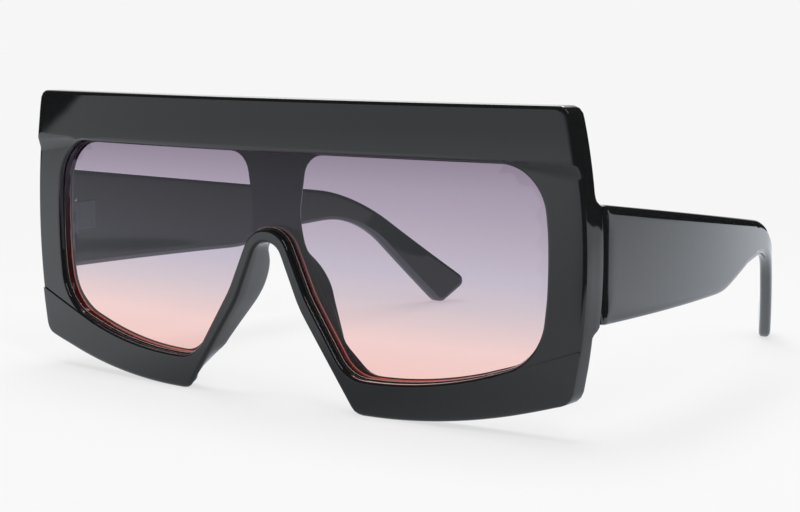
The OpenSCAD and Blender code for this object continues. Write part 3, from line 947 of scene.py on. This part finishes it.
class Nodes:
    """A short way to write the nodes of a material or a world."""

    def __init__(self, owner):
        self.owner = owner
        owner.use_nodes = True
        self.tree = owner.node_tree
        self.tree.nodes.clear()

    def add(self, kind, inputs=None, **settings):
        node = self.tree.nodes.new("ShaderNode" + kind)
        for key, value in settings.items():
            setattr(node, key, value)
        for key, value in (inputs or {}).items():
            if isinstance(value, bpy.types.NodeSocket):
                self.tree.links.new(value, node.inputs[key])
            else:
                node.inputs[key].default_value = value
        return node

    def shader(self, kind, inputs):
        return self.add(kind, inputs).outputs[0]

    def mix(self, share, a, b):
        return self.shader("MixShader", {0: share, 1: a, 2: b})

    def calc(self, operation, a, b):
        return self.add("Math", {0: a, 1: b}, operation=operation).outputs[0]

    def between(self, value, low, high, to_low=0.0, to_high=1.0):
        """A value moved from one range to another, and held within it."""
        inputs = {0: value, 1: low, 2: high, 3: to_low, 4: to_high}
        return self.add("MapRange", inputs).outputs[0]

    def dot(self, a, b):
        return self.add("VectorMath", {0: a, 1: b}, operation="DOT_PRODUCT").outputs["Value"]

    def length(self, a):
        return self.add("VectorMath", {0: a}, operation="LENGTH").outputs["Value"]

    def gap(self, a, b):
        return self.add("VectorMath", {0: a, 1: b}, operation="DISTANCE").outputs["Value"]

    def unit(self, a):
        return self.add("VectorMath", {0: a}, operation="NORMALIZE").outputs["Vector"]

    def noise(self, scale, detail):
        place = self.add("TexCoord").outputs["Object"]
        inputs = {"Vector": place, "Scale": scale, "Detail": detail}
        return self.add("TexNoise", inputs).outputs[0]

    def height(self):
        """Height on the object, in metres."""
        return self.add("SeparateXYZ", {0: self.add("TexCoord").outputs["Object"]}).outputs[2]

    def ramp(self, value, stops):
        node = self.add("ValToRGB", {0: value})
        ramp = node.color_ramp
        while len(ramp.elements) < len(stops):
            ramp.elements.new(0.5)
        for element, (place, colour) in zip(ramp.elements, stops):
            element.position = place
            element.color = (*colour, 1)
        return node.outputs[0]

    def ray_is(self, *names):
        """1 for a ray of any of the kinds named."""
        path = self.add("LightPath")
        value = path.outputs[names[0]]
        for name in names[1:]:
            value = self.calc("MAXIMUM", value, path.outputs[name])
        return value


def plastic(name, colour, roughness, ior):
    """Glossy moulded plastic with a faint haze, and a very slight wave in its polished surface."""
    m = Nodes(bpy.data.materials.new(name))
    haze = m.noise(scale=60.0, detail=4.0)
    wave = m.noise(scale=130.0, detail=1.0)
    bump = m.add("Bump", {"Height": wave, "Strength": 0.2, "Distance": 0.00003})
    shader = m.shader("BsdfPrincipled", {
        "Base Color": (*colour, 1),
        "Roughness": m.between(haze, 0.3, 0.7, roughness * 0.7, roughness * 1.4),
        "IOR": ior,
        "Normal": bump.outputs[0],
    })
    m.add("OutputMaterial", {0: shader})
    return m.owner


def metal(name, colour, roughness):
    m = Nodes(bpy.data.materials.new(name))
    grain = m.noise(scale=3000.0, detail=3.0)
    shader = m.shader("BsdfPrincipled", {
        "Base Color": (*colour, 1),
        "Metallic": 1.0,
        "Roughness": m.between(grain, 0.3, 0.7, roughness * 0.8, roughness * 1.3),
    })
    m.add("OutputMaterial", {0: shader})
    return m.owner


# The lens's tint from its lower edge to its upper one, between two heights in metres
TINT_HEIGHTS = (0.006, 0.056)
TINT = (
    (0.0, (1.0, 0.80, 0.77)),
    (0.2, (0.98, 0.825, 0.81)),
    (0.36, (0.84, 0.77, 0.80)),
    (0.5, (0.76, 0.72, 0.79)),
    (0.7, (0.69, 0.64, 0.71)),
    (0.85, (0.63, 0.575, 0.66)),
    (1.0, (0.53, 0.475, 0.555)),
)
# Heights in metres over which the painted light on the lens's edge changes from its lower colour to its
# upper one
EDGE_PAINTED_LIGHT_HEIGHTS = (0.028, 0.044)
LENS_IOR = 1.5


def tinted_lens():
    """Lilac above and peach below: a thin film that lets the view through and mirrors a little."""
    m = Nodes(bpy.data.materials.new("tinted_lens"))
    tint = m.ramp(m.between(m.height(), *TINT_HEIGHTS), TINT)
    film = m.shader("BsdfTransparent", {"Color": tint})
    gloss = m.shader("BsdfGlossy", {"Roughness": 0.03})
    # Only the face turned to the viewer mirrors: behind it the ray is already inside the lens
    fresnel = m.add("Fresnel", {"IOR": LENS_IOR}).outputs[0]
    facing = m.calc("SUBTRACT", 1.0, m.add("NewGeometry").outputs["Backfacing"])
    mixed = m.mix(m.calc("MULTIPLY", fresnel, facing), film, gloss)
    m.add("OutputMaterial", {0: mixed})
    return m.owner


def lens_edge_painted_light(name, low, high):
    """A band of the lens's cut edge, whose colour is painted light: a painted highlight or painted
    shade in the lens's colours, which changes with height.
    """
    m = Nodes(bpy.data.materials.new(name))
    # The band's colour is painted light, from its lower colour to its upper one
    tint = m.ramp(m.between(m.height(), *EDGE_PAINTED_LIGHT_HEIGHTS), ((0.0, low), (1.0, high)))
    shader = m.shader("BsdfPrincipled", {"Base Color": tint, "Roughness": 0.12, "IOR": LENS_IOR})
    m.add("OutputMaterial", {0: shader})
    return m.owner


# Studio. Places are in metres, and a way is a direction on the table

WHITE = 0.923
WHITE_COLOUR = (WHITE, WHITE, WHITE, 1)
PURE = (1, 1, 1, 1)
WORLD_FILL = 0.5
# The lit table, which blends into the white backdrop between two distances from the object
FLOOR_R = 6
FLOOR_COLOUR = (0.7, 0.7, 0.7, 1)
FLOOR_LIFT = 0.15
FLOOR_BLEND = (0.13, 0.3, 0.66, 1.0)
# What a mirror sees from the object: the white backdrop, the white table, and a dark room past
# them. The table ends at a distance, and before that at its far left edge and along a dark wedge
# that starts at the front's near corner
BACKDROP_WAY = (-0.866, 0.5, 0.0)
BACKDROP_EDGE = (0.66, 0.8)
BACKDROP_TOP = 0.92
TABLE_REACH = 0.5
TABLE_EDGE_WAY = (-0.62, 0.785, 0.0)
TABLE_EDGE = 0.165
# The bluish tint of the table as mirrors see it: a painted reflection colour
TABLE_REFLECTION_TINT = (0.93, 0.975, 1.04, 1)
DARK_CORNER = (0.076, -0.065, 0.0)
DARK_WAY = (0.824, -0.566, 0.0)
DARK_SPREAD = 0.35
DARK_NEAR = 0.13
STUDIO_DARK = 0.01
# A bright lamp high behind the object, which draws the thin lines along its upper edges
LAMP_WAY = (-0.504, 0.645, 0.574)
LAMP_EDGE = 0.955
LAMP_LIGHT = 5.0
# Painted light and shade on the table as a mirror sees it, as (from, to) in metres and (dim, bright):
# painted light towards the left and near the object, behind the temples and in a round patch at the
# nose, and a round painted shadow under the front
LEFT_ACROSS = (0.02, -0.16)
LEFT_NEAR = (1.05, 0.4)
LEFT_LIGHT = (0.6, 1.0)
BEHIND_ACROSS = (0.3, 0.1)
BEHIND_ALONG = (0.0, 0.1)
BEHIND_LIGHT = (0.05, 0.42)
AT_NOSE = (0.0, -0.01, 0.0)
NOSE_SPAN = (0.07, 0.02)
NOSE_LIGHT = (0.0, 0.42)
UNDER_FRONT = (0.0, -0.09, 0.0)
UNDER_SPAN = (0.02, 0.07)
UNDER_SHARE = (0.55, 1.0)
# A soft sun, which mirrors don't see, and a narrow strip lamp, which they do
SUN_FROM = (-0.25, 0.15, 1)
SUN_ANGLE = 45
SUN_LIGHT = 2.1
STRIP_AT = (0.55, -0.35, 0.75)
STRIP_AIM = (0.03, -0.06, 0.05)
STRIP_SIZE = (0.08, 0.5)
STRIP_POWER = 1.2


def studio_light(m, way):
    """What a mirror sees of the studio in a direction: the backdrop and the lamp, and darkness
    beside and above them."""
    up = m.add("SeparateXYZ", {0: way}).outputs[2]
    level = m.add("VectorMath", {0: way, 1: (1, 1, 0)}, operation="MULTIPLY").outputs[0]
    beside = m.between(m.dot(m.unit(level), BACKDROP_WAY), *BACKDROP_EDGE)
    below_top = m.between(up, BACKDROP_TOP * 1.06, BACKDROP_TOP * 0.93)
    backdrop = m.between(m.calc("MULTIPLY", beside, below_top), 0.0, 1.0, STUDIO_DARK, WHITE)
    lamp = m.between(m.dot(way, LAMP_WAY), LAMP_EDGE, LAMP_EDGE + 0.015, 0.0, LAMP_LIGHT)
    return m.calc("ADD", backdrop, lamp)


def table_light(m, place):
    """Painted light and shade on the table as a mirror sees it at a place: painted light brightest
    from the left and behind the temples, and a painted shadow that dims it under the front."""
    across, along = m.add("SeparateXYZ", {0: place}).outputs[:2]
    near = m.between(m.length(place), *LEFT_NEAR)
    left = m.calc("MULTIPLY", m.between(across, *LEFT_ACROSS), near)
    behind = m.between(along, *BEHIND_ALONG)
    behind = m.calc("MULTIPLY", m.between(across, *BEHIND_ACROSS), behind)
    nose = m.between(m.gap(place, AT_NOSE), *NOSE_SPAN, *NOSE_LIGHT)
    under = m.between(m.gap(place, UNDER_FRONT), *UNDER_SPAN, *UNDER_SHARE)
    light = m.between(left, 0.0, 1.0, *LEFT_LIGHT)
    light = m.calc("ADD", light, m.between(behind, 0.0, 1.0, *BEHIND_LIGHT))
    light = m.calc("ADD", light, nose)
    return m.calc("MULTIPLY", light, under)


def past_table(m, place):
    """1 where a mirror that looks at this place on the floor sees past the table."""
    past_edge = m.between(m.dot(place, TABLE_EDGE_WAY), TABLE_EDGE - 0.01, TABLE_EDGE + 0.01)
    past_reach = m.between(m.length(place), TABLE_REACH, TABLE_REACH * 1.2)
    past_end = m.calc("MULTIPLY", past_reach, past_edge)
    from_corner = m.add("VectorMath", {0: place, 1: DARK_CORNER}, operation="SUBTRACT").outputs[0]
    toward = m.dot(m.unit(from_corner), DARK_WAY)
    in_wedge = m.between(toward, DARK_SPREAD - 0.03, DARK_SPREAD + 0.06)
    gone = m.between(m.length(from_corner), DARK_NEAR, DARK_NEAR * 1.4)
    return m.calc("MAXIMUM", past_end, m.calc("MULTIPLY", in_wedge, gone))


def add_world():
    m = Nodes(bpy.data.worlds.new("studio"))
    way = m.add("TexCoord").outputs["Generated"]
    backdrop = m.shader("Background", {"Color": WHITE_COLOUR, "Strength": 1.0})
    mirrored = m.shader("Background", {"Color": PURE, "Strength": studio_light(m, way)})
    fill = m.shader("Background", {"Color": PURE, "Strength": WORLD_FILL})
    mixed = m.mix(m.ray_is("Is Glossy Ray"), fill, mirrored)
    mixed = m.mix(m.ray_is("Is Camera Ray", "Is Transmission Ray"), mixed, backdrop)
    m.add("OutputWorld", {0: mixed})
    bpy.context.scene.world = m.owner


def floor_white():
    m = Nodes(bpy.data.materials.new("floor_white"))
    place = m.add("NewGeometry").outputs["Position"]
    diffuse = m.shader("BsdfDiffuse", {"Color": FLOOR_COLOUR})
    lift = m.shader("Emission", {"Color": PURE, "Strength": FLOOR_LIFT})
    lit = m.shader("AddShader", {0: diffuse, 1: lift})
    glow = m.shader("Emission", {"Color": WHITE_COLOUR, "Strength": 1.0})
    table = m.shader("Emission", {"Color": TABLE_REFLECTION_TINT, "Strength": table_light(m, place)})
    room = m.shader("Emission", {"Color": PURE, "Strength": studio_light(m, m.unit(place))})
    mirrored = m.mix(past_table(m, place), table, room)
    # The camera sees the lit table blend into the backdrop, with the object's shadow on it
    seen = m.ray_is("Is Camera Ray", "Is Transmission Ray")
    share = m.calc("MULTIPLY", seen, m.between(m.length(place), *FLOOR_BLEND))
    mixed = m.mix(m.ray_is("Is Glossy Ray"), m.mix(share, lit, glow), mirrored)
    m.add("OutputMaterial", {0: mixed})
    return m.owner


def add_floor():
    bm = bmesh.new()
    bmesh.ops.create_circle(bm, cap_ends=True, segments=64, radius=FLOOR_R)
    mesh = bpy.data.meshes.new("floor")
    bm.to_mesh(mesh)
    bm.free()
    mesh.materials.append(floor_white())
    linked("floor", mesh)


def turned_along(way):
    """The rotation of a lamp or a camera that looks along a way."""
    return Vector(way).to_track_quat("-Z", "Y")


def add_lamps():
    sun_data = bpy.data.lights.new("key", "SUN")
    sun_data.angle = radians(SUN_ANGLE)
    sun_data.energy = SUN_LIGHT
    sun = linked("key", sun_data)
    sun.visible_glossy = False
    sun.rotation_euler = turned_along(-Vector(SUN_FROM)).to_euler()
    strip_data = bpy.data.lights.new("strip_high", "AREA")
    strip_data.shape = "RECTANGLE"
    strip_data.size, strip_data.size_y = STRIP_SIZE
    strip_data.energy = STRIP_POWER
    strip = linked("strip_high", strip_data)
    strip.location = STRIP_AT
    strip.rotation_euler = turned_along(Vector(STRIP_AIM) - Vector(STRIP_AT)).to_euler()


def add_camera():
    data = bpy.data.cameras.new("photo_camera")
    data.sensor_width = SENSOR_MM
    data.lens = FOCAL_MM
    data.clip_start = 0.01
    camera = linked("photo_camera", data)
    aim = turned_along(CAMERA_AIM - CAMERA_AT).to_matrix().to_4x4()
    roll = Matrix.Rotation(radians(CAMERA_ROLL), 4, "Z")
    camera.matrix_world = Matrix.Translation(CAMERA_AT) @ aim @ roll
    bpy.context.scene.camera = camera


bpy.context.scene.view_settings.view_transform = "Standard"
add_camera()
add_world()
add_floor()
add_lamps()

FRONT_BLACK = (0.011, 0.0115, 0.012)
TEMPLE_BLACK = (0.011, 0.012, 0.013)

front = build_front()
seats = hinge_cutters(-1, FRONT_LEAF_LEN)
cut(front, seats + [flipped(mesh) for mesh in seats])
front.data.materials.append(plastic("black_plastic", FRONT_BLACK, roughness=0.035, ior=1.6))

temple_left = build_temple()
cut(temple_left, hinge_cutters(1, TEMPLE_LEAF_LEN))
for material in (
    plastic("temple_plastic", TEMPLE_BLACK, roughness=0.04, ior=1.92),
    plastic("temple_inner", TEMPLE_BLACK, roughness=0.04, ior=1.5),
):
    temple_left.data.materials.append(material)
temple_right = linked("temple_shell_right", flipped(temple_left.data))

lens = build_lens()
# The lens's tinted faces, then its edge bands, whose colours are painted highlights and painted shade
for material in (
    tinted_lens(),
    lens_edge_painted_light("lens_bevel_painted_light", low=(1.0, 0.78, 0.74), high=(0.1, 0.06, 0.09)),
    lens_edge_painted_light("lens_wall_painted_shade", low=(0.05, 0.012, 0.014), high=(0.05, 0.028, 0.045)),
    lens_edge_painted_light("lens_rear_bevel_painted_light", low=(0.6, 0.17, 0.11), high=(0.06, 0.03, 0.04)),
):
    lens.data.materials.append(material)

for piece, body, node, material_slot in (
    (front, "front", "front_frame", "black_plastic"),
    (temple_left, "temple_left", "temple_left", "temple_plastic"),
    (temple_right, "temple_right", "temple_right", "temple_plastic"),
    (lens, "front", "shield_lens", "tinted_lens"),
):
    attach(piece, body)
    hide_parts(node)

hinge_metal = metal("hinge_metal", (0.13, 0.13, 0.14), roughness=0.3)
screw_metal = metal("screw_metal", (0.8, 0.8, 0.82), roughness=0.18)
for node, material in (
    ("front_hinge_left", hinge_metal),
    ("front_hinge_right", hinge_metal),
    ("temple_hinge_left", hinge_metal),
    ("temple_hinge_right", hinge_metal),
    ("hinge_screws", screw_metal),
):
    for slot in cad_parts[node].material_slots:
        slot.material = material
